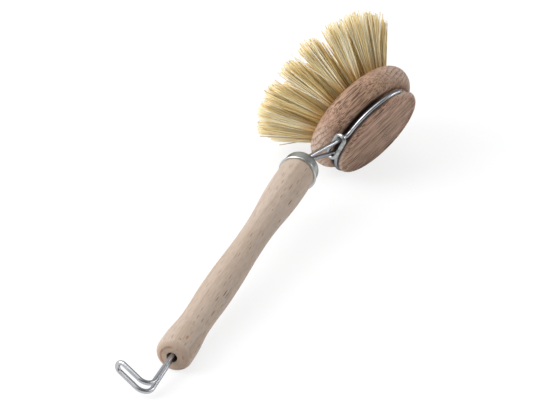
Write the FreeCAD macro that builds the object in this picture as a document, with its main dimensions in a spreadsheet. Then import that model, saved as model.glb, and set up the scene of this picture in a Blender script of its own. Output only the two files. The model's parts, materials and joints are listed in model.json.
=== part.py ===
import FreeCAD, Part
import math
import os

import Sketcher

# A dish brush with a replaceable round head, lying on its side on a table.
# A turned wooden handle carries a doubled wire: its closed end is the hanging hook, its two free ends are
# sprung arms that lie in the groove of the head. A loose ring round both strands, pushed up to the head,
# keeps the arms closed.
#
# Every piece is drawn in the brush's own axes and then laid down with one common placement: X runs along
# the handle from its hanging end to the head, Z points to the bristle side, Y across the brush.

Vector = FreeCAD.Vector
doc = FreeCAD.newDocument("dish_brush")

# Driving sizes in millimetres, degrees and counts
SIZES = {
    # Turned handle, measured along its axis from the hanging end
    "handle_length": 145.0,
    "end_corner": 3.4,
    "bulge_at": 6.5,
    "bulge_dia": 14.9,
    "grip_share": 0.18,
    "grip_dia": 12.7,
    "belly_share": 0.34,
    "belly_dia": 13.7,
    "waist_share": 0.63,
    "waist_dia": 12.0,
    "swell_back": 10.0,
    "swell_dia": 15.6,
    "bore_dia": 4.5,
    # Pressed metal cap on the handle's head end
    "ferrule_height": 7.6,
    "ferrule_dia": 15.8,
    "ferrule_wall": 0.4,
    "ferrule_round": 2.4,
    "ferrule_step": 0.3,
    "ferrule_lip": 0.15,
    "ferrule_lip_height": 1.3,
    # Doubled wire
    "wire_dia": 1.9,
    "strand_gap": 0.4,
    "split_depth": 1.2,
    "split_gap": 0.3,
    # Hanging hook
    "hook_shank": 24.5,
    "hook_ease": 20.0,
    "hook_bend": 4.1,
    "hook_reach": 16.4,
    "hook_width": 6.1,
    "hook_set": 0.1,
    "hook_twist": 12.0,
    "hook_lean": 17.2,
    # Neck and arms
    "neck_straight": 6.0,
    "neck_bend": 9.0,
    "neck_angle": 20.8,
    "arm_spread": 8.3,
    "arm_flare": 4.0,
    "arm_end": 84.0,
    "arm_clearance": 0.25,
    "neck_run": 20.9,
    # Lock ring
    "ring_wire_dia": 1.9,
    "ring_play": 0.35,
    "ring_clearance": 0.15,
    "ring_seat": 2.0,
    "ring_seam": 0.25,
    # Turned head, heights measured from the plane of the arms, shares of its widest radius
    "head_dia": 56.2,
    "rim_height": 9.1,
    "lobe_round": 4.8,
    "groove_depth": 6.0,
    "groove_slack": 1.45,
    "face_share": 0.783,
    "face_height": 15.2,
    "back_inset": 4.6,
    "back_round": 3.5,
    "back_face_height": 3.4,
    "back_height": 4.2,
    # Fibre tufts, their holes and the anchors under them
    "hole_share": 0.844,
    "hole_depth": 9.0,
    "hole_clearance": 0.1,
    "tuft_length": 28.0,
    "tuft_dome": 1.4,
    "tuft_gap": 1.5,
    "outer_count": 16,
    "outer_ring_share": 0.676,
    "outer_splay_angle": 34.0,
    "inner_count": 9,
    "inner_ring_share": 0.373,
    "inner_splay_angle": 17.0,
    "centre_count": 3,
    "centre_ring_share": 0.132,
    "centre_splay_angle": 6.0,
    "anchor_share": 0.78,
    "anchor_height": 2.0,
    "anchor_wall": 0.5,
}

sheet = doc.addObject("Spreadsheet::Sheet", "sizes")
for row, (alias, number) in enumerate(SIZES.items(), start=1):
    sheet.set(f"A{row}", alias)
    sheet.set(f"B{row}", str(number))
    sheet.setAlias(f"B{row}", alias)
doc.recompute()


class Size:
    """A number with the sheet expression that gives it, so that sums bind as well as the cells do."""

    def __init__(self, value, text):
        self.value = float(value)
        self.text = text

    @staticmethod
    def of(other):
        return other if isinstance(other, Size) else Size(other, repr(other))

    def __add__(self, other):
        other = Size.of(other)
        return Size(self.value + other.value, f"({self.text} + {other.text})")

    def __sub__(self, other):
        other = Size.of(other)
        return Size(self.value - other.value, f"({self.text} - {other.text})")

    def __mul__(self, other):
        other = Size.of(other)
        return Size(self.value * other.value, f"({self.text} * {other.text})")

    def __truediv__(self, other):
        other = Size.of(other)
        return Size(self.value / other.value, f"({self.text} / {other.text})")

    def __neg__(self):
        return Size(-self.value, f"(-{self.text})")


class Sizes:
    """The sheet's cells by name."""

    def __getattr__(self, alias):
        return Size(sheet.get(alias), f"sizes.{alias}")


size = Sizes()
ZERO = Size(0, "0")


def tangent(angle):
    return Size(math.tan(math.radians(angle.value)), f"tan({angle.text} * 1 deg)")


def sine(angle):
    return Size(math.sin(math.radians(angle.value)), f"sin({angle.text} * 1 deg)")


def spacing(radius, count):
    """How far apart neighbours stand on a circle."""
    return radius * sine(Size.of(180) / count) * 2


def bind(thing, **properties):
    """Bind properties to sheet expressions; a double underscore in a name stands for a dot."""
    for name, amount in properties.items():
        thing.setExpression(name.replace("__", "."), amount.text)


# Outlines: each corner is (u, v, bend), and bend says how the outline runs on to the next corner
STRAIGHT = None


def centre_at_u(amount):
    """A round stretch whose centre lies at this u."""
    return ("u", amount)


def centre_at_v(amount):
    """A round stretch whose centre lies at this v."""
    return ("v", amount)


def arc_between(start, end, bend):
    """The shorter arc from start to end, and which of its ends is the start."""
    (u0, v0), (u1, v1) = start, end
    which, fixed = bend
    half_square = (u1 * u1 + v1 * v1 - u0 * u0 - v0 * v0) / 2
    if which == "u":
        centre = Vector(fixed.value, (half_square - fixed.value * (u1 - u0)) / (v1 - v0), 0)
    else:
        centre = Vector((half_square - fixed.value * (v1 - v0)) / (u1 - u0), fixed.value, 0)
    first = math.atan2(v0 - centre.y, u0 - centre.x)
    last = math.atan2(v1 - centre.y, u1 - centre.x)
    circle = Part.Circle(centre, Vector(0, 0, 1), (Vector(u0, v0, 0) - centre).Length)
    turns_left = (last - first) % math.tau < math.pi
    if turns_left:
        return Part.ArcOfCircle(circle, first, last), (1, 2)
    return Part.ArcOfCircle(circle, last, first), (2, 1)


def pin(sketch, geometry, point, axis, amount):
    """Hold one coordinate of a sketch point at a sheet expression."""
    if amount.value == 0:
        own_axis = -2 if axis == "u" else -1
        sketch.addConstraint(Sketcher.Constraint("PointOnObject", geometry, point, own_axis))
        return
    kind = "DistanceX" if axis == "u" else "DistanceY"
    index = sketch.addConstraint(Sketcher.Constraint(kind, -1, 1, geometry, point, amount.value))
    sketch.setExpression(f"Constraints[{index}]", amount.text)


def new_sketch(body, name, role):
    sketch = body.newObject("Sketcher::SketchObject", name)
    plane = next(item for item in body.Origin.OriginFeatures if item.Role == role)
    sketch.AttachmentSupport = [(plane, "")]
    sketch.MapMode = "FlatFace"
    return sketch


def draw(sketch, corners, closed=True):
    """Draw an outline, with every corner and every arc's centre held by the sheet."""
    followers = corners[1:] + corners[:1] if closed else corners[1:]
    previous_end = None
    first_start = None
    for (u, v, bend), (next_u, next_v, _) in zip(corners, followers):
        start, end = (u.value, v.value), (next_u.value, next_v.value)
        if bend is STRAIGHT:
            edge, ends = Part.LineSegment(Vector(*start, 0), Vector(*end, 0)), (1, 2)
        else:
            edge, ends = arc_between(start, end, bend)
        geometry = sketch.addGeometry(edge)
        if previous_end:
            sketch.addConstraint(Sketcher.Constraint("Coincident", *previous_end, geometry, ends[0]))
        first_start = first_start or (geometry, ends[0])
        previous_end = (geometry, ends[1])
        pin(sketch, geometry, ends[0], "u", u)
        pin(sketch, geometry, ends[0], "v", v)
        if bend is not STRAIGHT:
            pin(sketch, geometry, 3, *bend)
    if closed:
        sketch.addConstraint(Sketcher.Constraint("Coincident", *previous_end, *first_start))
    else:
        pin(sketch, *previous_end, "u", corners[-1][0])
        pin(sketch, *previous_end, "v", corners[-1][1])


def turned(label, axis, corners):
    """A body turned from an outline in its XZ plane about that plane's H_Axis (X) or V_Axis (Z)."""
    body = doc.addObject("PartDesign::Body", label)
    body.Label = label
    sketch = new_sketch(body, f"{label}_outline", "XZ_Plane")
    draw(sketch, corners)
    turning = body.newObject("PartDesign::Revolution", f"{label}_turning")
    turning.Profile = sketch
    turning.ReferenceAxis = (sketch, [axis])
    turning.Angle = 360
    return body


# Shared places
wire_radius = size.wire_dia / 2
strand_offset = (size.wire_dia + size.strand_gap) / 2
ferrule_top = size.handle_length + size.ferrule_height
neck_at = ferrule_top + size.neck_straight
split_at = ferrule_top - size.split_depth
head_reach = size.neck_run + size.head_dia / 2
groove_radius = size.head_dia / 2 - size.groove_depth
wire_circle = groove_radius + wire_radius + size.arm_clearance

neck_point = Vector(neck_at.value, 0, 0)
neck_angle = math.radians(size.neck_angle.value)
along = Vector(math.cos(neck_angle), 0, -math.sin(neck_angle))
across = Vector(0, 1, 0)
normal = along.cross(across)
head_centre = neck_point + along * head_reach.value
head_place = FreeCAD.Placement(head_centre, FreeCAD.Rotation(along, across, normal, "ZXY"))

pieces = []


def keep(piece, place=FreeCAD.Placement()):
    """Note a finished piece and where it sits in the brush's own axes."""
    pieces.append((piece, place))
    return piece


# Handle: a hanging-end bulge, a grip, a belly, a long waist and a swell under the ferrule
def swing(at, dia, next_at, next_dia):
    """Two round stretches that take a turned outline from one crest or hollow to the next."""
    return [
        (at, dia / 2, centre_at_u(at)),
        ((at + next_at) / 2, (dia + next_dia) / 4, centre_at_u(next_at)),
    ]


grip_at = size.handle_length * size.grip_share
belly_at = size.handle_length * size.belly_share
waist_at = size.handle_length * size.waist_share
swell_at = size.handle_length - size.swell_back
seat_radius = size.ferrule_dia / 2 - size.ferrule_wall
round_at = ferrule_top - size.ferrule_round
round_radius = size.ferrule_dia / 2 - size.ferrule_round
handle_top = ferrule_top - size.ferrule_wall
handle = turned("handle", "H_Axis", [
    (ZERO, size.bore_dia / 2, STRAIGHT),
    (ZERO, size.bulge_dia / 2 - size.end_corner, centre_at_u(size.end_corner)),
    (size.end_corner, size.bulge_dia / 2, STRAIGHT),
    *swing(size.bulge_at, size.bulge_dia, grip_at, size.grip_dia),
    *swing(grip_at, size.grip_dia, belly_at, size.belly_dia),
    *swing(belly_at, size.belly_dia, waist_at, size.waist_dia),
    *swing(waist_at, size.waist_dia, swell_at, size.swell_dia),
    (swell_at, size.swell_dia / 2, centre_at_u(swell_at)),
    (size.handle_length, size.ferrule_dia / 2 - size.ferrule_step, STRAIGHT),
    (size.handle_length, seat_radius, STRAIGHT),
    (round_at, seat_radius, centre_at_u(round_at)),
    (handle_top, round_radius, STRAIGHT),
    (handle_top, size.bore_dia / 2, STRAIGHT),
])
keep(handle)

# Ferrule: a thin cap with a rolled lip below, a rounded edge above and a hole for the two strands
lip_top = size.handle_length + size.ferrule_lip_height
ferrule = turned("ferrule", "H_Axis", [
    (size.handle_length, seat_radius, STRAIGHT),
    (size.handle_length, size.ferrule_dia / 2 + size.ferrule_lip, centre_at_v(size.ferrule_dia / 2)),
    (lip_top, size.ferrule_dia / 2, STRAIGHT),
    (round_at, size.ferrule_dia / 2, centre_at_u(round_at)),
    (ferrule_top, round_radius, STRAIGHT),
    (ferrule_top, size.bore_dia / 2, STRAIGHT),
    (handle_top, size.bore_dia / 2, STRAIGHT),
    (handle_top, round_radius, centre_at_u(round_at)),
    (round_at, seat_radius, STRAIGHT),
])
keep(ferrule)


# Wire: straight runs joined by tangent arcs, swept with a round section
SAME_PLACE = 1e-6
TUBE_VOLUME_SHARE = 0.01


def line(start, end):
    return Part.LineSegment(start, end).toShape()


def arc(start, centre, end):
    """The shorter arc about a centre."""
    middle = (start - centre) + (end - centre)
    return Part.Arc(start, centre + middle.normalize() * (start - centre).Length, end).toShape()


def bent(points, radii):
    """Straight runs from point to point, with every inner corner rounded by its own radius."""
    edges = []
    here = points[0]
    for before, corner, after, radius in zip(points, points[1:], points[2:], radii):
        back = (before - corner).normalize()
        onward = (after - corner).normalize()
        half = back.getAngle(onward) / 2
        start = corner + back * (radius / math.tan(half))
        end = corner + onward * (radius / math.tan(half))
        middle = corner + (back + onward).normalize() * (radius / math.sin(half))
        if not start.isEqual(here, SAME_PLACE):
            edges.append(line(here, start))
        edges.append(arc(start, middle, end))
        here = end
    return edges + [line(here, points[-1])]


def tube(label, edges, dia):
    """A round wire along a path that starts with a straight run."""
    start = edges[0].valueAt(edges[0].FirstParameter)
    heading = edges[0].tangentAt(edges[0].FirstParameter)
    section = Part.Wire(Part.Circle(start, heading, dia.value / 2).toShape())
    path = Part.Wire(edges)
    solid = path.makePipeShell([section], True, False)
    expected = path.Length * math.pi * (dia.value / 2) ** 2
    if abs(solid.Volume / expected - 1) > TUBE_VOLUME_SHARE:
        raise RuntimeError(f"{label}: the swept wire has the wrong volume")
    piece = doc.addObject("Part::Feature", label)
    piece.Label = label
    piece.Shape = solid
    return piece


# Hook: both strands leave the handle, draw apart, turn back on the bristle side and close in a round end
strand_y = strand_offset.value
loop_y = (size.hook_width / 2 - wire_radius).value
twist = math.radians(size.hook_twist.value)
hook_lean = math.tan(math.radians(size.hook_lean.value))


def hook_strand(side):
    """Corners of one strand, from the ferrule to the round end of the hook; the pair twists a little."""
    top = Vector((split_at - size.split_gap).value, side * strand_y, 0)
    mouth = Vector(0, side * strand_y * math.cos(twist), -side * strand_y * math.sin(twist))
    low = -size.hook_set.value - side * loop_y * math.tan(twist)
    high = (size.hook_reach - wire_radius).value
    corner = Vector(-size.hook_shank.value + hook_lean * low, side * loop_y, low)
    end = Vector(-size.hook_shank.value + hook_lean * high, side * loop_y, high)
    return [top, mouth, corner, end]


strand_bends = [size.hook_ease.value, size.hook_bend.value, loop_y]
keep(tube(
    "hook_wire",
    bent(hook_strand(1) + hook_strand(-1)[::-1], strand_bends + strand_bends[::-1]),
    size.wire_dia))

# Arms: each strand bends down at the neck, draws away from the other, flares out and lies in the groove
arm_spread = math.radians(size.arm_spread.value)
flare = size.arm_flare.value
circle_radius = wire_circle.value
lean = math.tan(arm_spread)
ahead = head_reach.value + flare * math.sin(arm_spread)
aside = strand_y + flare * math.cos(arm_spread)
half_b = aside * lean - ahead
square_a = 1 + lean ** 2
square_c = ahead ** 2 + aside ** 2 - (flare + circle_radius) ** 2
flare_at = (-half_b - math.sqrt(half_b ** 2 - square_a * square_c)) / square_a


def neck_place(reach, offset):
    """A point in the plane of the arms, from its reach past the neck's bend and its offset to one side."""
    return neck_point + along * reach + across * offset


def arm(label, side):
    start = Vector(split_at.value, side * strand_y, 0)
    corner = Vector(neck_at.value, side * strand_y, 0)
    flare_from = neck_place(flare_at, side * (strand_y + flare_at * lean))
    flare_middle = neck_place(
        flare_at - flare * math.sin(arm_spread),
        side * (strand_y + flare_at * lean + flare * math.cos(arm_spread)))
    groove_from = head_centre + (flare_middle - head_centre).normalize() * circle_radius
    end_angle = math.radians(size.arm_end.value)
    end_way = along * math.cos(end_angle) + across * (side * math.sin(end_angle))
    end = head_centre + end_way * circle_radius
    return tube(label, bent([start, corner, flare_from], [size.neck_bend.value]) + [
        arc(flare_from, flare_middle, groove_from),
        arc(groove_from, head_centre, end),
    ], size.wire_dia)


keep(arm("left_arm", 1))
keep(arm("right_arm", -1))

# Lock ring: a long oval of thinner wire round both strands, square to them and just short of the flare
ring_radius = wire_radius + size.ring_play + size.ring_wire_dia / 2
ring_at = flare_at - (size.ring_wire_dia / 2 + size.ring_seat).value
strand_edge = strand_offset + tangent(size.arm_spread) * Size(ring_at, repr(ring_at)) + wire_radius
ring_half = strand_edge + size.ring_clearance + size.ring_wire_dia / 2
ring_straight = ring_half - ring_radius
ring = doc.addObject("PartDesign::Body", "lock_ring")
ring.Label = "lock_ring"
ring_path = new_sketch(ring, "lock_ring_path", "XY_Plane")
draw(ring_path, [
    (size.ring_seam / 2, -ring_radius, STRAIGHT),
    (ring_straight, -ring_radius, centre_at_u(ring_straight)),
    (ring_half, ZERO, centre_at_u(ring_straight)),
    (ring_straight, ring_radius, STRAIGHT),
    (-ring_straight, ring_radius, centre_at_u(-ring_straight)),
    (-ring_half, ZERO, centre_at_u(-ring_straight)),
    (-ring_straight, -ring_radius, STRAIGHT),
    (-size.ring_seam / 2, -ring_radius, STRAIGHT),
], closed=False)
ring_section = new_sketch(ring, "lock_ring_section", "YZ_Plane")
bind(ring_section, AttachmentOffset__Base__z=size.ring_seam / 2)
section_circle = ring_section.addGeometry(
    Part.Circle(Vector(-ring_radius.value, 0, 0), Vector(0, 0, 1), size.ring_wire_dia.value / 2))
pin(ring_section, section_circle, 3, "u", -ring_radius)
pin(ring_section, section_circle, 3, "v", ZERO)
section_size = ring_section.addConstraint(
    Sketcher.Constraint("Diameter", section_circle, size.ring_wire_dia.value))
ring_section.setExpression(f"Constraints[{section_size}]", size.ring_wire_dia.text)
doc.recompute()
ring_sweep = ring.newObject("PartDesign::AdditivePipe", "lock_ring_sweep")
ring_sweep.Profile = ring_section
ring_sweep.Spine = (ring_path, [f"Edge{number}" for number in range(1, ring_path.GeometryCount + 1)])
ring_place = FreeCAD.Placement(
    neck_place(ring_at, 0), FreeCAD.Rotation(across, normal, along, "ZXY"))
keep(ring, ring_place)

# Head: a domed back, a groove for the arms and a thick rounded lobe that ends in the flat bristle face
rim_radius = size.head_dia / 2
lobe_edge_radius = rim_radius - size.lobe_round
face_radius = rim_radius * size.face_share
back_radius = rim_radius - size.back_inset
back_face_radius = back_radius - size.back_round
groove_back = wire_radius + size.arm_clearance
groove_front = wire_radius + size.groove_slack
head = turned("head_block", "V_Axis", [
    (ZERO, -size.back_height, centre_at_u(ZERO)),
    (back_face_radius, -size.back_face_height, centre_at_v(-groove_back)),
    (back_radius, -groove_back, STRAIGHT),
    (groove_radius, -groove_back, STRAIGHT),
    (groove_radius, groove_front, STRAIGHT),
    (lobe_edge_radius, groove_front, centre_at_v(size.rim_height)),
    (rim_radius, size.rim_height, centre_at_v(size.rim_height)),
    (face_radius, size.face_height, STRAIGHT),
    (ZERO, size.face_height, STRAIGHT),
])

# Tuft rings: name, count, ring radius at the bristle face, lean from the head's normal
outer_ring_radius = rim_radius * size.outer_ring_share
TUFT_RINGS = [
    ("outer", size.outer_count, outer_ring_radius, size.outer_splay_angle),
    ("inner", size.inner_count, rim_radius * size.inner_ring_share, size.inner_splay_angle),
    ("centre", size.centre_count, rim_radius * size.centre_ring_share, size.centre_splay_angle),
]

# The outer holes lean together towards their bottoms, and their spacing there sets the size of every hole
outer_bottom_radius = outer_ring_radius - size.hole_depth * sine(size.outer_splay_angle)
hole_radius = spacing(outer_bottom_radius, size.outer_count) * size.hole_share / 2


def hole_place(ring_radius, splay, depth):
    """A place on a leaning hole's axis, below its mouth in the bristle face, with Z out of the hole."""
    mouth = Vector(ring_radius.value, 0, size.face_height.value)
    leaning = FreeCAD.Rotation(Vector(0, 1, 0), splay.value)
    return FreeCAD.Placement(mouth - leaning.multVec(Vector(0, 0, depth.value)), leaning)


# Holes for the tufts, drilled at the lean of their ring and open well past the face
for name, count, ring_radius, splay in TUFT_RINGS:
    doc.recompute()
    hole = head.newObject("PartDesign::SubtractiveCylinder", f"{name}_hole")
    hole.Placement = hole_place(ring_radius, splay, size.hole_depth)
    bind(hole, Radius=hole_radius, Height=size.hole_depth * 2)
    holes = head.newObject("PartDesign::PolarPattern", f"{name}_holes")
    holes.Originals = [hole]
    holes.Axis = (next(item for item in head.Origin.OriginFeatures if item.Role == "Z_Axis"), [""])
    holes.Angle = 360
    bind(holes, Occurrences=count)
    head.Tip = holes
keep(head, head_place)

# Tufts: bound straight in the hole, then opening like a bell to a domed tip
tuft_radius = hole_radius - size.hole_clearance
root_depth = size.hole_depth - size.anchor_height - size.hole_clearance * 2
tip_height = size.tuft_length - size.tuft_dome


def tip_ring(ring_radius, splay):
    """Radius of the circle on which a ring's tips stand."""
    return ring_radius + tip_height * sine(splay)


def tuft_tip(count, ring_radius, splay):
    """Radius of a tuft's tip, which leaves a gap to its neighbours."""
    return (spacing(tip_ring(ring_radius, splay), count) - size.tuft_gap) / 2


def tuft(label, splay, tip_radius):
    collar = hole_radius * tangent(splay)
    return turned(label, "V_Axis", [
        (ZERO, -root_depth, STRAIGHT),
        (tuft_radius, -root_depth, STRAIGHT),
        (tuft_radius, collar, centre_at_v(collar)),
        (tip_radius, tip_height, centre_at_u(ZERO)),
        (ZERO, size.tuft_length, STRAIGHT),
    ])


anchor_width = hole_radius * 2 * size.anchor_share
anchors = []
for name, count, ring_radius, splay in TUFT_RINGS:
    number_of_tufts = int(count.value)
    for index in range(number_of_tufts):
        step = FreeCAD.Placement(Vector(), FreeCAD.Rotation(Vector(0, 0, 1), 360 * index / number_of_tufts))
        in_head = step.multiply(hole_place(ring_radius, splay, ZERO))
        label = f"tuft_{name}_{index + 1:02d}"
        keep(tuft(label, splay, tuft_tip(count, ring_radius, splay)), head_place.multiply(in_head))
        # Anchor: a small flat plate under each tuft, standing on the bottom of its hole
        plate = Part.makeBox(anchor_width.value, size.anchor_wall.value, size.anchor_height.value)
        corner = -anchor_width / 2, -size.anchor_wall / 2, size.hole_clearance
        plate.translate(Vector(*(amount.value for amount in corner)))
        floor = step.multiply(hole_place(ring_radius, splay, size.hole_depth))
        plate.Placement = floor.multiply(plate.Placement)
        anchors.append(plate)

anchor_group = doc.addObject("Part::Feature", "tuft_anchors")
anchor_group.Label = "tuft_anchors"
anchor_group.Shape = Part.makeCompound(anchors)
keep(anchor_group, head_place)

doc.recompute()


# Lying on its side: the round corner of the handle's end, the head's lobe and its back all touch the table
def upward(roll, pitch):
    """The table's upward direction in the brush's axes."""
    turned_up = FreeCAD.Rotation(Vector(1, 0, 0), roll).multiply(FreeCAD.Rotation(Vector(0, 1, 0), pitch))
    return turned_up.inverted().multVec(Vector(0, 0, 1))


def round_edge(rim, face, rise):
    """Circle radius and round of a turned edge that runs from a rim in to a face over some rise."""
    circle = (rim ** 2 - face ** 2 - rise ** 2) / (2 * (rim - face))
    return circle, rim - circle


def edge_bottom(centre, axis, edge, up):
    """How low a turned round edge reaches along the upward direction."""
    circle, round_radius = edge
    return centre.dot(up) - circle * math.sqrt(max(0, 1 - axis.dot(up) ** 2)) - round_radius


end_place = Vector(size.end_corner.value, 0, 0)
end_edge = ((size.bulge_dia / 2 - size.end_corner).value, size.end_corner.value)
lobe_place = head_centre + normal * size.rim_height.value
lobe_rise = size.rim_height - groove_front
lobe_edge = round_edge(rim_radius.value, lobe_edge_radius.value, lobe_rise.value)
back_place = head_centre - normal * groove_back.value
back_rise = size.back_face_height - groove_back
back_edge = round_edge(back_radius.value, back_face_radius.value, back_rise.value)


def back_over_lobe(roll, pitch):
    up = upward(roll, pitch)
    back_bottom = edge_bottom(back_place, normal, back_edge, up)
    return back_bottom - edge_bottom(lobe_place, normal, lobe_edge, up)


def end_over_lobe(roll, pitch):
    up = upward(roll, pitch)
    end_bottom = edge_bottom(end_place, Vector(1, 0, 0), end_edge, up)
    return end_bottom - edge_bottom(lobe_place, normal, lobe_edge, up)


def solve(function, low, high):
    """The angle at which a steadily changing height difference passes zero."""
    rising = function(high) > function(low)
    for _ in range(SOLVER_STEPS):
        middle = (low + high) / 2
        if (function(middle) > 0) == rising:
            high = middle
        else:
            low = middle
    return (low + high) / 2


SOLVER_STEPS = 50
LYING_ROUNDS = 20
ON_ITS_SIDE_ANGLE = -90.0
HALF_OVER_ANGLE = -45.0
PITCH_LIMIT_ANGLE = 30.0
roll, pitch = ON_ITS_SIDE_ANGLE, 0.0
for _ in range(LYING_ROUNDS):
    roll = solve(lambda angle: back_over_lobe(angle, pitch), ON_ITS_SIDE_ANGLE, HALF_OVER_ANGLE)
    pitch = solve(lambda angle: end_over_lobe(roll, angle), -PITCH_LIMIT_ANGLE, PITCH_LIMIT_ANGLE)

lying = FreeCAD.Rotation(Vector(1, 0, 0), roll).multiply(FreeCAD.Rotation(Vector(0, 1, 0), pitch))
handle_heading = lying.multVec(Vector(1, 0, 0))
square_up = FreeCAD.Rotation(Vector(0, 0, 1), -math.degrees(math.atan2(handle_heading.y, handle_heading.x)))
resting = FreeCAD.Placement(Vector(), square_up.multiply(lying))

for piece, place in pieces:
    piece.Placement = resting.multiply(place)
doc.recompute()

# Origin: the middle of the brush's footprint, at table height
box = FreeCAD.BoundBox()
for piece, place in pieces:
    box.add(piece.Shape.optimalBoundingBox(False, False))
footprint = Vector(box.Center.x, box.Center.y, box.ZMin)
resting.Base = -footprint
for piece, place in pieces:
    piece.Placement = resting.multiply(place)
doc.recompute()

# Checks before writing
for item in doc.Objects:
    if "Invalid" in item.State or "Error" in item.State:
        raise RuntimeError(f"{item.Name} did not recompute: {item.State}")
for piece, place in pieces:
    if piece.Shape.isNull() or not piece.Shape.isValid():
        raise RuntimeError(f"{piece.Label} has no valid shape")

os.makedirs("parts", exist_ok=True)
for piece, place in pieces:
    piece.Shape.exportStep(f"parts/{piece.Label}.step")

print("resting placement", resting)
print("roll", round(roll, 3), "pitch", round(pitch, 3))
print("box", [round(length, 2) for length in (box.XLength, box.YLength, box.ZLength)])
print("pieces", len(pieces))
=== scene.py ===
import json
import math
import random
from typing import NamedTuple

import bpy
import numpy as np
from mathutils import Matrix, Vector


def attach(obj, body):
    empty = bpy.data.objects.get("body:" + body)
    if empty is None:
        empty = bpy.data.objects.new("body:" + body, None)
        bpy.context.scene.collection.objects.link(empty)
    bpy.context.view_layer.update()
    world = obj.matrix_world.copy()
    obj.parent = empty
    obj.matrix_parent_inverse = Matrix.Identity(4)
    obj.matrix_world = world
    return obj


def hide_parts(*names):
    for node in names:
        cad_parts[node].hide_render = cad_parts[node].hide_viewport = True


# Looks of the dish brush: bare beech, galvanised wire, a tinned cap and tufts of plant fibre.
# Lengths are in metres; names that end in _MM or _mm are in millimetres.
# Angles are in degrees, apart from the turns of single fibres, which are in radians.

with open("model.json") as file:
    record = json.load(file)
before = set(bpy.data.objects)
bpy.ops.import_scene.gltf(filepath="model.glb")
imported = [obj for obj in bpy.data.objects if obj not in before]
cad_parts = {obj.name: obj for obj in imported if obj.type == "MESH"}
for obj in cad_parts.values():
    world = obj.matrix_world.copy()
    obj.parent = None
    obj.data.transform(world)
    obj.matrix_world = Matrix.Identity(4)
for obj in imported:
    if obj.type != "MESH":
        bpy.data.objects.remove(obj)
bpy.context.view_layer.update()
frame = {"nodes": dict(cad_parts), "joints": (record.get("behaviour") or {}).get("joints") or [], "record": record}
MM = 0.001

# Axes of the brush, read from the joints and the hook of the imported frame
nodes = frame["nodes"]
joints = {joint["name"]: joint for joint in frame["joints"]}
head_centre = Vector(joints["head_turn"]["pos_m"])
head_normal = Vector(joints["head_turn"]["axis"]).normalized()
head_along = -Vector(joints["ring_slide"]["axis"]).normalized()
across = head_normal.cross(head_along)
handle_along = -Vector(frame["record"]["mounts"][0]["axis"]).normalized()
arm_pivots = [Vector(joints[name]["pos_m"]) for name in ("left_arm_spread", "right_arm_spread")]
handle_mouth = (arm_pivots[0] + arm_pivots[1]) / 2


def level(node, origin, direction):
    """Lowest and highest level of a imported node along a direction, from an origin."""
    heights = [(vertex.co - origin).dot(direction) for vertex in nodes[node].data.vertices]
    return min(heights), max(heights)


# Node trees
NOISE_MIDDLE = 0.5


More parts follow.
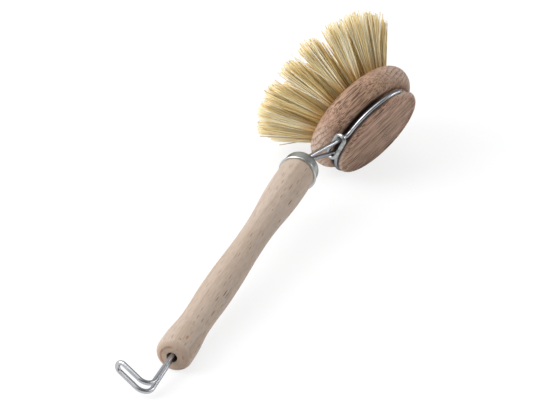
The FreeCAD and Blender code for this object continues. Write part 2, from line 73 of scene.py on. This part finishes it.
class Tree:
    """Short calls for building a material's node tree."""

    def __init__(self, name):
        self.material = bpy.data.materials.new(name)
        self.material.use_nodes = True
        self.nodes = self.material.node_tree.nodes
        self.links = self.material.node_tree.links
        self.shader = self.nodes["Principled BSDF"]

    def add(self, kind, inputs=None, **properties):
        """A new node with its properties and inputs set; an input may be a value or another node's socket."""
        node = self.nodes.new(kind)
        for name, setting in properties.items():
            setattr(node, name, setting)
        for name, setting in (inputs or {}).items():
            self.feed(node.inputs[name], setting)
        return node

    def feed(self, socket, setting):
        if isinstance(setting, bpy.types.NodeSocket):
            self.links.new(setting, socket)
        else:
            socket.default_value = setting

    def surface(self, **settings):
        """Set the shader's own inputs; an underscore in a name stands for a space."""
        for name, setting in settings.items():
            self.feed(self.shader.inputs[name.replace("_", " ")], setting)

    def math(self, operation, *values):
        node = self.nodes.new("ShaderNodeMath")
        node.operation = operation
        for socket, setting in zip(node.inputs, values):
            self.feed(socket, setting)
        return node.outputs[0]

    def total(self, *values):
        result = values[0]
        for value in values[1:]:
            result = self.math("ADD", result, value)
        return result

    def product(self, *values):
        result = values[0]
        for value in values[1:]:
            result = self.math("MULTIPLY", result, value)
        return result

    def swing(self, noise, strength):
        """A noise turned into a swing about zero."""
        return self.product(self.math("SUBTRACT", noise, NOISE_MIDDLE), strength)

    def distance(self, *offsets):
        squares = [self.product(offset, offset) for offset in offsets]
        return self.math("SQRT", self.total(*squares))

    def ramp(self, factor, stops):
        """A colour ramp through (position, colour) stops."""
        node = self.add("ShaderNodeValToRGB", {"Fac": factor})
        elements = node.color_ramp.elements
        while len(elements) < len(stops):
            elements.new(0)
        for element, (position, colour) in zip(elements, stops):
            element.position = position
            element.color = (*colour, 1)
        return node.outputs["Color"]

    def rise(self, factor, low, high):
        """A smooth step from 0 at low to 1 at high."""
        node = self.add("ShaderNodeMapRange", {"Value": factor, "From Min": low, "From Max": high})
        node.interpolation_type = "SMOOTHSTEP"
        return node.outputs["Result"]

    def fall(self, factor, low, high):
        """A smooth step from 1 at low to 0 at high."""
        return self.math("SUBTRACT", 1.0, self.rise(factor, low, high))

    def mix(self, factor, first, second, blend="MIX"):
        node = self.nodes.new("ShaderNodeMix")
        node.data_type = "RGBA"
        node.blend_type = blend
        self.feed(node.inputs["Factor"], factor)
        for name, colour in (("A", first), ("B", second)):
            self.feed(node.inputs[name], colour if isinstance(colour, bpy.types.NodeSocket) else (*colour, 1))
        return node.outputs["Result"]

    def noise(self, vector, swings, detail=2.0, roughness=0.5):
        """Noise with its own number of swings to each unit of the vector's three parts."""
        scaled = self.add("ShaderNodeVectorMath", {0: vector, 1: swings}, operation="MULTIPLY").outputs[0]
        node = self.add("ShaderNodeTexNoise", {
            "Vector": scaled, "Scale": 1.0, "Detail": detail, "Roughness": roughness})
        return node.outputs["Fac"]

    def vector(self, **parts):
        return self.add("ShaderNodeCombineXYZ", parts).outputs[0]

    def bump(self, height, distance, strength):
        node = self.add("ShaderNodeBump", {"Height": height, "Distance": distance, "Strength": strength})
        self.surface(Normal=node.outputs["Normal"])

    def place_mm(self, along, origin):
        """Millimetres from an origin: X along a direction, Y square to it and to the head's axis."""
        side = head_normal.cross(along).normalized()
        axes = Matrix((along, side, along.cross(side)))
        where = self.add("ShaderNodeTexCoord").outputs["Object"]
        shifted = self.add("ShaderNodeVectorMath", {0: where, 1: origin}, operation="SUBTRACT").outputs[0]
        turned = self.add("ShaderNodeMapping", {"Vector": shifted, "Rotation": axes.to_euler()})
        turned.inputs["Scale"].default_value = (1 / MM, 1 / MM, 1 / MM)
        return turned.outputs["Vector"]


# Wood: growth rings about a pith outside the piece, fibre streaks, and dark dashes along the grain
RING_WANDER_SWINGS = (0.012, 0.05, 0.05)
RING_WANDER_MM = 9.0
RING_SHARPNESS = 4.0
STREAKS_ACROSS = 0.42
FLECKS_ACROSS = 1.3
GRAIN_DETAIL = 3.0
GRAIN_ROUGHNESS = 0.6
MIDDLE_TONE = 0.42
PATCH_SWINGS = (0.03, 0.08, 0.08)
PATCH_LIMITS = (0.4, 0.6)
END_GRAIN_FACING = (0.4, 0.9)
END_GRAIN_COVER = 0.8
SPOKE_SWINGS = (2.2, 0.4, 1.0)
SPOKE_DETAIL = 1.0
SPOKE_STRENGTH = 2.3
HATCH_LIMITS = (0.05, 0.6)
DASH_PITCH = 1.3
DASH_LAYER_SHIFT = 7.0
DASH_EDGE = (0.26, 0.46)
DASH_FAINTEST = 0.4
DASH_FACING = (0.25, 0.6)
DASH_ON_END_GRAIN = 0.3
WOOD_ROUGHNESS = 0.5
STREAK_ROUGHNESS = 0.22
WOOD_SPECULAR = 0.28
FLECK_RELIEF = 0.35
DASH_RELIEF = 0.8
GRAIN_RELIEF_MM = 0.05
GRAIN_RELIEF_STRENGTH = 0.6


class Dashes(NamedTuple):
    """One set of dashes: their size, the share of cells that hold one, and how dark they are."""
    length_mm: float
    width_mm: float
    share: float
    strength: float


class WoodLook(NamedTuple):
    """Colours, scales and strengths of one wood."""
    pale: tuple
    dark: tuple
    dash: tuple
    end: tuple
    tint: tuple
    pith_mm: tuple
    ring_mm: float
    ring_strength: float
    streak_mm: float
    streak_strength: float
    fleck_mm: float
    fleck_strength: float
    dashes: tuple


def dash_layer(tree, layer, dashes, along, reach, arc):
    """One set of dashes, each in its own cell, faint ones among them."""
    width_pitch = DASH_PITCH * dashes.width_mm
    cell = tree.vector(
        X=tree.math("DIVIDE", along, DASH_PITCH * dashes.length_mm),
        Y=tree.math("DIVIDE", reach, width_pitch),
        Z=tree.total(tree.math("DIVIDE", arc, width_pitch), DASH_LAYER_SHIFT * layer))
    cells = tree.add("ShaderNodeTexVoronoi", {"Vector": cell, "Scale": 1.0, "Randomness": 1.0})
    pick = tree.add("ShaderNodeSeparateColor", {"Color": cells.outputs["Color"]}).outputs
    chosen = tree.product(tree.math("LESS_THAN", pick["Red"], dashes.share), dashes.strength)
    faint = tree.total(DASH_FAINTEST, tree.product(pick["Green"], 1 - DASH_FAINTEST))
    return tree.product(tree.fall(cells.outputs["Distance"], *DASH_EDGE), tree.product(chosen, faint))


def wood(name, along, origin, look, marks_and_shade):
    """A wood that grows along a direction; the last argument adds the piece's marks to its colour: real marks on
    the handle, painted shade in the head's groove.
    """
    tree = Tree(name)
    place = tree.place_mm(along, origin)
    parts = tree.add("ShaderNodeSeparateXYZ", {"Vector": place}).outputs
    wander = tree.swing(tree.noise(place, RING_WANDER_SWINGS), RING_WANDER_MM)
    aside = tree.total(parts["Y"], look.pith_mm[0])
    above = tree.total(parts["Z"], look.pith_mm[1])
    reach = tree.distance(aside, above)
    arc = tree.product(tree.math("ARCTAN2", above, aside), math.hypot(*look.pith_mm))

    # A growth ring darkens slowly and ends in a sharp line
    rings = tree.math("DIVIDE", tree.total(reach, wander), look.ring_mm)
    late = tree.math("POWER", tree.math("FRACT", rings), RING_SHARPNESS)
    streak_swings = (1 / look.streak_mm, STREAKS_ACROSS, STREAKS_ACROSS)
    coarse = tree.noise(place, streak_swings, GRAIN_DETAIL, GRAIN_ROUGHNESS)
    fleck_swings = (1 / look.fleck_mm, FLECKS_ACROSS, FLECKS_ACROSS)
    fine = tree.noise(place, fleck_swings, GRAIN_DETAIL, GRAIN_ROUGHNESS)
    tone = tree.total(
        MIDDLE_TONE, tree.swing(coarse, look.streak_strength), tree.swing(fine, look.fleck_strength),
        tree.product(late, look.ring_strength))
    colour = tree.mix(tree.rise(tone, 0.0, 1.0), look.pale, look.dark)
    patch = tree.rise(tree.noise(place, PATCH_SWINGS), *PATCH_LIMITS)
    colour = tree.mix(patch, colour, look.tint, "MULTIPLY")

    # The ends of the fibres show the rings crossed by spokes
    normal = tree.add("ShaderNodeTexCoord").outputs["Normal"]
    facing = tree.add("ShaderNodeVectorMath", {0: normal, 1: along}, operation="DOT_PRODUCT").outputs["Value"]
    facing = tree.math("ABSOLUTE", facing)
    spokes = tree.noise(tree.vector(X=arc, Y=reach), SPOKE_SWINGS, SPOKE_DETAIL)
    hatch = tree.total(late, tree.swing(spokes, SPOKE_STRENGTH))
    ends = tree.mix(tree.rise(hatch, *HATCH_LIMITS), look.end, look.dark)
    colour = tree.mix(tree.product(tree.rise(facing, *END_GRAIN_FACING), END_GRAIN_COVER), colour, ends)

    # Rays show as short dark dashes along the grain, weaker on the end grain
    marked = 0.0
    for layer, dashes in enumerate(look.dashes):
        marked = tree.math("MAXIMUM", marked, dash_layer(tree, layer, dashes, parts["X"], reach, arc))
    on_sides = tree.product(tree.fall(facing, *DASH_FACING), 1 - DASH_ON_END_GRAIN)
    marked = tree.product(marked, tree.total(DASH_ON_END_GRAIN, on_sides))
    colour = tree.mix(marked, colour, look.dash)

    tree.surface(
        Base_Color=marks_and_shade(tree, parts, colour),
        Roughness=tree.total(WOOD_ROUGHNESS, tree.product(coarse, STREAK_ROUGHNESS)),
        Specular_IOR_Level=WOOD_SPECULAR)
    relief = tree.math("SUBTRACT", tree.product(fine, FLECK_RELIEF), tree.product(marked, DASH_RELIEF))
    tree.bump(relief, GRAIN_RELIEF_MM * MM, GRAIN_RELIEF_STRENGTH)
    return tree.material


# Marks on the handle's hanging end: the worn edge of its flat, and one rust-brown chip on its side
WORN_COLOUR = (0.25, 0.13, 0.085)
WORN_RADIUS_MM = 4.7
WORN_EDGE_MM = (0.15, 0.65)
WORN_FROM_END_MM = (0.6, 2.2)
WORN_SWINGS = (0.9, 0.5, 1.0)
WORN_LIMITS = (0.38, 0.6)
CHIP_COLOUR = (0.38, 0.16, 0.06)
CHIP_FROM_END_MM = 6.4
CHIP_RISE_MM = -1.0
CHIP_LENGTH_MM = 2.2
CHIP_WIDTH_MM = 0.7
CHIP_EDGE = (0.3, 0.8)
MARK_COVER = 0.9


def handle_marks(tree, parts, colour):
    end_mm = level("handle", handle_mouth, handle_along)[0] / MM
    from_end = tree.math("SUBTRACT", parts["X"], end_mm)
    off_edge = tree.math("SUBTRACT", tree.distance(parts["Y"], parts["Z"]), WORN_RADIUS_MM)
    edge = tree.fall(tree.math("ABSOLUTE", off_edge), *WORN_EDGE_MM)
    around = tree.vector(X=tree.math("ARCTAN2", parts["Z"], parts["Y"]), Y=parts["X"])
    broken = tree.rise(tree.noise(around, WORN_SWINGS), *WORN_LIMITS)
    worn = tree.product(edge, tree.fall(from_end, *WORN_FROM_END_MM), broken)
    colour = tree.mix(tree.product(worn, MARK_COVER), colour, WORN_COLOUR)

    chip_along = tree.math("DIVIDE", tree.math("SUBTRACT", from_end, CHIP_FROM_END_MM), CHIP_LENGTH_MM)
    chip_aside = tree.math("DIVIDE", tree.math("SUBTRACT", parts["Z"], CHIP_RISE_MM), CHIP_WIDTH_MM)
    chip = tree.fall(tree.distance(chip_along, chip_aside), *CHIP_EDGE)
    chip = tree.product(chip, tree.math("LESS_THAN", parts["Y"], 0))
    return tree.mix(tree.product(chip, MARK_COVER), colour, CHIP_COLOUR)


# Head: the grain lies at a turn from the line of the neck, and the groove under the arms is darkened as painted
# shade
GRAIN_TURN = -45.0
GROOVE_SHADE_COLOUR = (0.03, 0.018, 0.012)
GROOVE_SHARES = (0.83, 0.875)
GROOVE_LOW_MM = -2.0
GROOVE_HIGH_MM = 3.2
GROOVE_BLUR_MM = 0.5
UNDER_ARMS = (0.0, 0.6)


def groove_painted_shade(tree, parts, colour):
    # Painted shade: the groove's floor under the arms, toward the neck, is coloured dark where shadow falls
    head_radius_mm = level("head_block", head_centre, across)[1] / MM
    radius = tree.distance(parts["X"], parts["Y"])
    turn = math.radians(GRAIN_TURN)
    to_neck = tree.math(
        "SUBTRACT", tree.product(parts["Y"], math.sin(turn)), tree.product(parts["X"], math.cos(turn)))
    under_arms = tree.rise(tree.math("DIVIDE", to_neck, radius), *UNDER_ARMS)
    inside = tree.fall(radius, *(share * head_radius_mm for share in GROOVE_SHARES))
    above = tree.rise(parts["Z"], GROOVE_LOW_MM - GROOVE_BLUR_MM, GROOVE_LOW_MM + GROOVE_BLUR_MM)
    below = tree.fall(parts["Z"], GROOVE_HIGH_MM - GROOVE_BLUR_MM, GROOVE_HIGH_MM + GROOVE_BLUR_MM)
    return tree.mix(tree.product(inside, under_arms, tree.product(above, below)), colour, GROOVE_SHADE_COLOUR)


# Metal: one builder, from bright drawn wire to the matt zinc of the ring and the tinned cap, with a darker copy of
# the wire on the arms as painted shade
CLOUD_DETAIL = 4.0
CLOUD_ROUGHNESS = 0.6
CLOUD_LIMITS = (0.3, 0.7)
CLOUD_MATTING = 0.16
METAL_RELIEF_STRENGTH = 0.5


def metal(name, pale, dark, edge, roughness, cloud_mm, relief_mm=0.0):
    tree = Tree(name)
    place = tree.place_mm(handle_along, handle_mouth)
    cloud = tree.noise(place, (1 / cloud_mm, 1 / cloud_mm, 1 / cloud_mm), CLOUD_DETAIL, CLOUD_ROUGHNESS)
    tree.surface(
        Base_Color=tree.mix(tree.rise(cloud, *CLOUD_LIMITS), dark, pale),
        Metallic=1.0,
        Specular_Tint=(*edge, 1),
        Roughness=tree.total(roughness, tree.swing(cloud, CLOUD_MATTING)))
    if relief_mm:
        tree.bump(cloud, relief_mm * MM, METAL_RELIEF_STRENGTH)
    return tree.material


# Plant fibre: every strand has its own tone, deepened towards its root and a little at its tip; at the root this
# is partly the fibre's own tone and partly painted shade between the tufts
TONE = "tone"
ALONG = "along"
FIBRE_TONES = (
    (0.0, (0.22, 0.12, 0.05)),
    (0.15, (0.70, 0.49, 0.18)),
    (0.5, (0.89, 0.74, 0.38)),
    (1.0, (0.97, 0.93, 0.77)))
ROOT_TONE_AND_SHADE = (0.62, 0.385, 0.10)
ROOT_LIMITS = (0.06, 0.5)
ROOT_COVER = 0.8
TIP_COLOUR = (0.80, 0.73, 0.58)
TIP_LIMITS = (0.75, 1.0)
TIP_COVER = 0.42
BLOTCH_COLOUR = (0.80, 0.62, 0.30)
BLOTCH_SWINGS = (0.7, 0.7, 0.35)
BLOTCH_LIMITS = (0.5, 0.8)
BLOTCH_COVER = 0.25
FIBRE_ROUGHNESS = 0.4
FIBRE_SPECULAR = 0.5


def fibre(name):
    tree = Tree(name)
    tone = tree.add("ShaderNodeAttribute", attribute_name=TONE).outputs["Fac"]
    along = tree.add("ShaderNodeAttribute", attribute_name=ALONG).outputs["Fac"]
    colour = tree.ramp(tone, FIBRE_TONES)
    # Towards the root: partly the fibre's own deeper tone, partly painted shade where the tufts crowd at the head
    root = tree.product(tree.fall(along, *ROOT_LIMITS), ROOT_COVER)
    colour = tree.mix(root, colour, ROOT_TONE_AND_SHADE, "MULTIPLY")
    tip = tree.product(tree.rise(along, *TIP_LIMITS), TIP_COVER)
    colour = tree.mix(tip, colour, TIP_COLOUR, "MULTIPLY")
    blotch = tree.noise(tree.place_mm(head_along, head_centre), BLOTCH_SWINGS)
    blotch = tree.product(tree.rise(blotch, *BLOTCH_LIMITS), BLOTCH_COVER)
    tree.surface(
        Base_Color=tree.mix(blotch, colour, BLOTCH_COLOUR),
        Roughness=FIBRE_ROUGHNESS,
        Specular_IOR_Level=FIBRE_SPECULAR)
    return tree.material


pale_look = WoodLook(
    pale=(0.525, 0.428, 0.355), dark=(0.386, 0.292, 0.226), dash=(0.145, 0.076, 0.047),
    end=(0.38, 0.275, 0.205), tint=(1.0, 0.985, 0.96),
    pith_mm=(38.0, 46.0), ring_mm=5.2, ring_strength=0.32,
    streak_mm=60.0, streak_strength=0.6, fleck_mm=4.5, fleck_strength=0.85,
    dashes=(
        Dashes(length_mm=4.0, width_mm=0.36, share=0.06, strength=0.85),
        Dashes(length_mm=5.2, width_mm=0.5, share=0.03, strength=0.95),
        Dashes(length_mm=5.5, width_mm=0.34, share=0.4, strength=0.25)))
red_look = WoodLook(
    pale=(0.475, 0.300, 0.215), dark=(0.265, 0.15, 0.094), dash=(0.05, 0.02, 0.012),
    end=(0.55, 0.43, 0.36), tint=(0.95, 0.985, 0.94),
    pith_mm=(-18.0, 64.0), ring_mm=1.9, ring_strength=0.3,
    streak_mm=80.0, streak_strength=1.1, fleck_mm=14.0, fleck_strength=1.5,
    dashes=(
        Dashes(length_mm=7.0, width_mm=0.44, share=0.7, strength=0.9),
        Dashes(length_mm=11.0, width_mm=0.48, share=0.6, strength=0.95),
        Dashes(length_mm=5.0, width_mm=0.42, share=0.6, strength=0.85),
        Dashes(length_mm=14.0, width_mm=0.55, share=0.25, strength=0.95)))

head_grain = Matrix.Rotation(math.radians(GRAIN_TURN), 3, head_normal) @ head_along
pale_beech = wood("pale_beech", handle_along, handle_mouth, pale_look, handle_marks)
red_beech = wood("red_beech", head_grain, head_centre, red_look, groove_painted_shade)
metal_looks = {
    "drawn_wire": {
        "pale": (0.56, 0.57, 0.59), "dark": (0.46, 0.47, 0.49), "edge": (0.2, 0.2, 0.22),
        "roughness": 0.34, "cloud_mm": 7.0},
    # A darker copy of the drawn wire for the arms: painted shade for the groove and neck where they lie
    "shade_darkened_wire": {
        "pale": (0.47, 0.48, 0.50), "dark": (0.35, 0.36, 0.38), "edge": (0.12, 0.12, 0.13),
        "roughness": 0.31, "cloud_mm": 4.0},
    "zinc": {
        "pale": (0.54, 0.55, 0.55), "dark": (0.32, 0.33, 0.33), "edge": (0.25, 0.25, 0.25),
        "roughness": 0.32, "cloud_mm": 1.1, "relief_mm": 0.05},
    "tinned": {
        "pale": (0.58, 0.595, 0.575), "dark": (0.47, 0.48, 0.465), "edge": (0.3, 0.3, 0.31),
        "roughness": 0.3, "cloud_mm": 6.0}}
metals = {name: metal(name, **look) for name, look in metal_looks.items()}
plant_fibre = fibre("plant_fibre")

finishes = {
    "handle": pale_beech, "head_block": red_beech, "ferrule": metals["tinned"], "lock_ring": metals["zinc"],
    "hook_wire": metals["drawn_wire"], "tuft_anchors": metals["drawn_wire"],
    "left_arm": metals["shade_darkened_wire"], "right_arm": metals["shade_darkened_wire"]}
for node, material in finishes.items():
    nodes[node].data.materials.clear()
    nodes[node].data.materials.append(material)


# Tufts: each one is a bundle of single fibres in the place of its plain solid
FIRST_SEED = 1
TUFT_LEAN = 3.0
COMBED_LEAN = 3.6
ROOT_SLICE_MM = 0.1
FIBRES_PER_TUFT = 105
FIBRE_DIA_MM = 0.47
FIBRE_THICKNESS = (0.7, 1.2)
FIBRE_TAPER = 0.3
FIBRE_SIDES = 5
FIBRE_RINGS = 8
ROOT_SINK_MM = 1.5
SPOT_SHIFT = 0.5
GOLDEN_TURN = math.pi * (3 - math.sqrt(5))
TURN_JITTER = 0.3
BELL_POWER = 1.15
TIP_POWER = 1.1
TIP_JITTER = (0.82, 1.05)
TIP_SPREAD = 0.9
STRAY_SHARE = 0.05
STRAY_SPREAD = (0.6, 1.35)
BEND_MM = 0.55
BOW_SCALE = 4.0
TIP_SWAY = 0.8
CROWN_LENGTH = 1.035
CROWN_FALL = 0.08
LENGTH_JITTER_MM = 0.7
SHORT_SHARE = 0.08
SHORT_BY_MM = (1.0, 4.0)
DARK_SHARE = 0.035
DARK_TONES = (0.0, 0.1)
OCHRE_SHARE = 0.11
OCHRE_TONES = (0.12, 0.28)
OUTER_PALLOR = 0.66
# Inner tufts get darker tones as painted shade: they stand in the shadow of the outer ring
INNER_SHADED_PALLOR = 0.3
PALLOR_SPREAD = 0.3
LOWEST_PALLOR = 0.12
face_level = level("head_block", head_centre, head_normal)[1]
ring_shares = [ring / (FIBRE_RINGS - 1) for ring in range(FIBRE_RINGS)]


class TuftForm(NamedTuple):
    """Where a tuft leaves the head's face, its axis and its sizes."""
    mouth: Vector
    axis: Vector
    length: float
    root_radius: float
    tip_radius: float


def tuft_form(node):
    """A tuft's place and sizes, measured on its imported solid."""
    points = np.array([vertex.co for vertex in nodes[node].data.vertices], float)
    middle = points.mean(axis=0)
    axis = Vector(np.linalg.eigh(np.cov((points - middle).T))[1][:, -1])
    if axis.dot(head_normal) < 0:
        axis = -axis
    heights = (points - middle) @ np.array(axis)
    radii = np.linalg.norm(points - middle - np.outer(heights, np.array(axis)), axis=1)
    root_radius = radii[heights < heights.min() + ROOT_SLICE_MM * MM].max()
    middle = Vector(middle)
    below_face = face_level - (middle - head_centre).dot(head_normal)
    mouth = middle + axis * (below_face / axis.dot(head_normal))
    tip = middle + axis * float(heights.max())
    return TuftForm(mouth, axis, (tip - mouth).length, float(root_radius), float(radii.max()))


def square_to(axis, turn):
    """Direction square to an axis, at a turn about it."""
    side = axis.orthogonal().normalized()
    return side * math.cos(turn) + axis.cross(side) * math.sin(turn)


def leaning(axis, dice):
    """The tuft's axis, combed away from the neck by use and leaning a little its own way."""
    turn = dice.uniform(0, math.tau)
    lean = math.tan(math.radians(TUFT_LEAN)) * math.sqrt(dice.random())
    own_way = square_to(axis, turn) * lean
    return (axis + own_way + head_along * math.tan(math.radians(COMBED_LEAN))).normalized()


def fibre_path(form, number, dice):
    """The bent line of one fibre, from inside the hole to its tip."""
    spot = math.sqrt((number + SPOT_SHIFT) / FIBRES_PER_TUFT)
    turn = number * GOLDEN_TURN + dice.uniform(-TURN_JITTER, TURN_JITTER)
    outward = square_to(form.axis, turn)
    root = outward * (spot * (form.root_radius - FIBRE_DIA_MM * MM))
    tip_spot = spot ** TIP_POWER * dice.uniform(*TIP_JITTER)
    tip = outward * (tip_spot * form.tip_radius * TIP_SPREAD)
    if dice.random() < STRAY_SHARE:
        turn = dice.uniform(0, math.tau)
        tip = square_to(form.axis, turn) * (form.tip_radius * dice.uniform(*STRAY_SPREAD))
    bend_turn = dice.uniform(0, math.tau)
    bend = square_to(form.axis, bend_turn) * dice.gauss(0, BEND_MM * MM)
    reach = form.length * (CROWN_LENGTH - CROWN_FALL * tip_spot ** 2) + dice.gauss(0, LENGTH_JITTER_MM * MM)
    if dice.random() < SHORT_SHARE:
        reach -= dice.uniform(*SHORT_BY_MM) * MM
    points = []
    for share in ring_shares:
        height = -ROOT_SINK_MM * MM + (reach + ROOT_SINK_MM * MM) * share
        sway = bend * (BOW_SCALE * share * (1 - share)) + bend * (TIP_SWAY * share ** 2)
        points.append(form.mouth + form.axis * height + root.lerp(tip, share ** BELL_POWER) + sway)
    return points


def fibre_tone(pallor, dice):
    lot = dice.random()
    if lot < DARK_SHARE:
        return dice.uniform(*DARK_TONES)
    if lot < DARK_SHARE + OCHRE_SHARE:
        return dice.uniform(*OCHRE_TONES)
    return min(1.0, max(LOWEST_PALLOR, dice.gauss(pallor, PALLOR_SPREAD)))


def tube(points, radii):
    """Rings of vertices along a path, and the closed skin's faces, counted from 0."""
    vertices = []
    heading = (points[1] - points[0]).normalized()
    side = heading.orthogonal().normalized()
    for index, (point, radius) in enumerate(zip(points, radii)):
        ahead = points[min(index + 1, len(points) - 1)]
        behind = points[max(index - 1, 0)]
        heading = (ahead - behind).normalized()
        side = (side - heading * side.dot(heading)).normalized()
        other = heading.cross(side)
        for step in range(FIBRE_SIDES):
            turn = math.tau * step / FIBRE_SIDES
            vertices.append(point + (side * math.cos(turn) + other * math.sin(turn)) * radius)
    faces = [tuple(reversed(range(FIBRE_SIDES)))]
    for ring in range(len(points) - 1):
        near, far = ring * FIBRE_SIDES, (ring + 1) * FIBRE_SIDES
        for step in range(FIBRE_SIDES):
            after = (step + 1) % FIBRE_SIDES
            faces.append((near + step, near + after, far + after, far + step))
    last = (len(points) - 1) * FIBRE_SIDES
    faces.append(tuple(last + step for step in range(FIBRE_SIDES)))
    return vertices, faces


def bundle(node, seed):
    """Replace a tuft's solid by its fibres, in one mesh."""
    dice = random.Random(seed)
    # Inner tufts take darker tones, as painted shade
    pallor = OUTER_PALLOR if "outer" in node else INNER_SHADED_PALLOR
    form = tuft_form(node)
    form = form._replace(axis=leaning(form.axis, dice))
    vertices, faces, tones, places = [], [], [], []
    for number in range(FIBRES_PER_TUFT):
        points = fibre_path(form, number, dice)
        radius = FIBRE_DIA_MM * MM / 2 * dice.uniform(*FIBRE_THICKNESS)
        skin, sides = tube(points, [radius * (1 - FIBRE_TAPER * share ** 2) for share in ring_shares])
        base = len(vertices)
        vertices += skin
        faces += [tuple(base + corner for corner in face) for face in sides]
        tones += [fibre_tone(pallor, dice)] * len(skin)
        places += [share for share in ring_shares for _ in range(FIBRE_SIDES)]
    mesh = bpy.data.meshes.new(f"{node}_fibres")
    mesh.from_pydata(vertices, [], faces)
    for name, values in ((TONE, tones), (ALONG, places)):
        mesh.attributes.new(name, "FLOAT", "POINT").data.foreach_set("value", values)
    mesh.materials.append(plant_fibre)
    mesh.shade_smooth()
    piece = bpy.data.objects.new(f"{node}_fibres", mesh)
    bpy.context.scene.collection.objects.link(piece)
    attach(piece, "head")
    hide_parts(node)


tuft_nodes = sorted(name for name in nodes if name.startswith("tuft_") and name != "tuft_anchors")
for seed, tuft_node in enumerate(tuft_nodes, start=FIRST_SEED):
    bundle(tuft_node, seed)


# Stage: a pale floor that the camera and polished metal see as white, with the brush's soft shadow on it
FLOOR_HALF = 6.0
FLOOR_COLOUR = (0.97, 0.97, 0.97, 1)
FLOOR_ROUGHNESS = 0.9
FLOOR_SHOWN_WHITE = 0.8


def pale_floor():
    corners = [(x * FLOOR_HALF, y * FLOOR_HALF, 0) for x, y in ((-1, -1), (1, -1), (1, 1), (-1, 1))]
    mesh = bpy.data.meshes.new("floor")
    mesh.from_pydata(corners, [], [(0, 1, 2, 3)])
    floor = bpy.data.objects.new("floor", mesh)
    bpy.context.scene.collection.objects.link(floor)
    tree = Tree("floor")
    tree.surface(Base_Color=FLOOR_COLOUR, Roughness=FLOOR_ROUGHNESS)
    light = tree.add("ShaderNodeLightPath").outputs
    seen = tree.math("MAXIMUM", light["Is Camera Ray"], light["Is Glossy Ray"])
    white = tree.add("ShaderNodeEmission", {"Color": (1, 1, 1, 1), "Strength": 1.0}).outputs[0]
    shown = tree.add("ShaderNodeMixShader", {
        0: tree.product(seen, FLOOR_SHOWN_WHITE), 1: tree.shader.outputs[0], 2: white})
    tree.links.new(shown.outputs[0], tree.nodes["Material Output"].inputs["Surface"])
    mesh.materials.append(tree.material)


pale_floor()


# Camera at the photograph's viewing angle
AIM = Vector((-4.22, -2.64, 24.94)) * MM
CAMERA_AZIMUTH = -70.745
CAMERA_ELEVATION = 25.735
CAMERA_ROLL = 1.559
CAMERA_DISTANCE = 1.10509
CAMERA_LENS_MM = 176.0
CAMERA_SENSOR_MM = 36.0
CAMERA_CLIP_END = 50.0


def toward(azimuth, elevation):
    """Direction from the brush to an azimuth and elevation."""
    turn, rise = math.radians(azimuth), math.radians(elevation)
    return Vector((math.sin(turn) * math.cos(rise), -math.cos(turn) * math.cos(rise), math.sin(rise)))


def photo_camera():
    view = bpy.data.cameras.new("camera")
    view.lens = CAMERA_LENS_MM
    view.sensor_width = CAMERA_SENSOR_MM
    view.clip_end = CAMERA_CLIP_END
    camera = bpy.data.objects.new("camera", view)
    way = toward(CAMERA_AZIMUTH, CAMERA_ELEVATION)
    camera.location = AIM + way * CAMERA_DISTANCE
    looking = (-way).to_track_quat("-Z", "Y").to_matrix().to_4x4()
    camera.rotation_euler = (looking @ Matrix.Rotation(math.radians(CAMERA_ROLL), 4, "Z")).to_euler()
    bpy.context.scene.collection.objects.link(camera)
    bpy.context.scene.camera = camera


photo_camera()


# Light: three soft lamps, at azimuths counted from the camera's own
LAMPS = {
    "key": {"azimuth": -70, "elevation": 42, "distance": 1.6, "width": 1.1, "power": 22.0},
    "top": {"azimuth": -20, "elevation": 80, "distance": 1.6, "width": 1.0, "power": 5.5},
    "fill": {"azimuth": 100, "elevation": 25, "distance": 1.8, "width": 0.7, "power": 8.8}}


def softbox(name, azimuth, elevation, distance, width, power):
    lamp = bpy.data.lights.new(name, "AREA")
    lamp.shape = "SQUARE"
    lamp.size = width
    lamp.energy = power
    light = bpy.data.objects.new(name, lamp)
    way = toward(CAMERA_AZIMUTH + azimuth, elevation)
    light.location = AIM + way * distance
    light.rotation_euler = way.to_track_quat("Z", "Y").to_euler()
    bpy.context.scene.collection.objects.link(light)


for lamp_name, settings in LAMPS.items():
    softbox(lamp_name, **settings)


# World: a plain studio, bright on the key's side and beyond the brush, dim behind the camera and to its right
BRIGHT_AZIMUTH = -125.0
BRIGHT_ELEVATION = 40.0
BRIGHT_STRENGTH = 1.1
DIM_STRENGTH = 0.1
DIM_FROM = -0.25
WORLD_COLOUR = (0.96, 0.98, 1.0, 1)


def studio_world():
    world = bpy.data.worlds.new("studio")
    bpy.context.scene.world = world
    world.use_nodes = True
    world_nodes, links = world.node_tree.nodes, world.node_tree.links
    where = world_nodes.new("ShaderNodeTexCoord")
    facing = world_nodes.new("ShaderNodeVectorMath")
    facing.operation = "DOT_PRODUCT"
    facing.inputs[1].default_value = toward(CAMERA_AZIMUTH + BRIGHT_AZIMUTH, BRIGHT_ELEVATION)
    near = world_nodes.new("ShaderNodeMapRange")
    near.inputs["From Min"].default_value = DIM_FROM
    squared = world_nodes.new("ShaderNodeMath")
    squared.operation = "MULTIPLY"
    climb = world_nodes.new("ShaderNodeMapRange")
    climb.inputs["To Min"].default_value = DIM_STRENGTH
    climb.inputs["To Max"].default_value = BRIGHT_STRENGTH
    background = world_nodes["Background"]
    background.inputs["Color"].default_value = WORLD_COLOUR
    links.new(where.outputs["Generated"], facing.inputs[0])
    links.new(facing.outputs["Value"], near.inputs["Value"])
    for factor in squared.inputs[:2]:
        links.new(near.outputs["Result"], factor)
    links.new(squared.outputs[0], climb.inputs["Value"])
    links.new(climb.outputs["Result"], background.inputs["Strength"])


studio_world()
bpy.context.scene.view_settings.view_transform = "Standard"
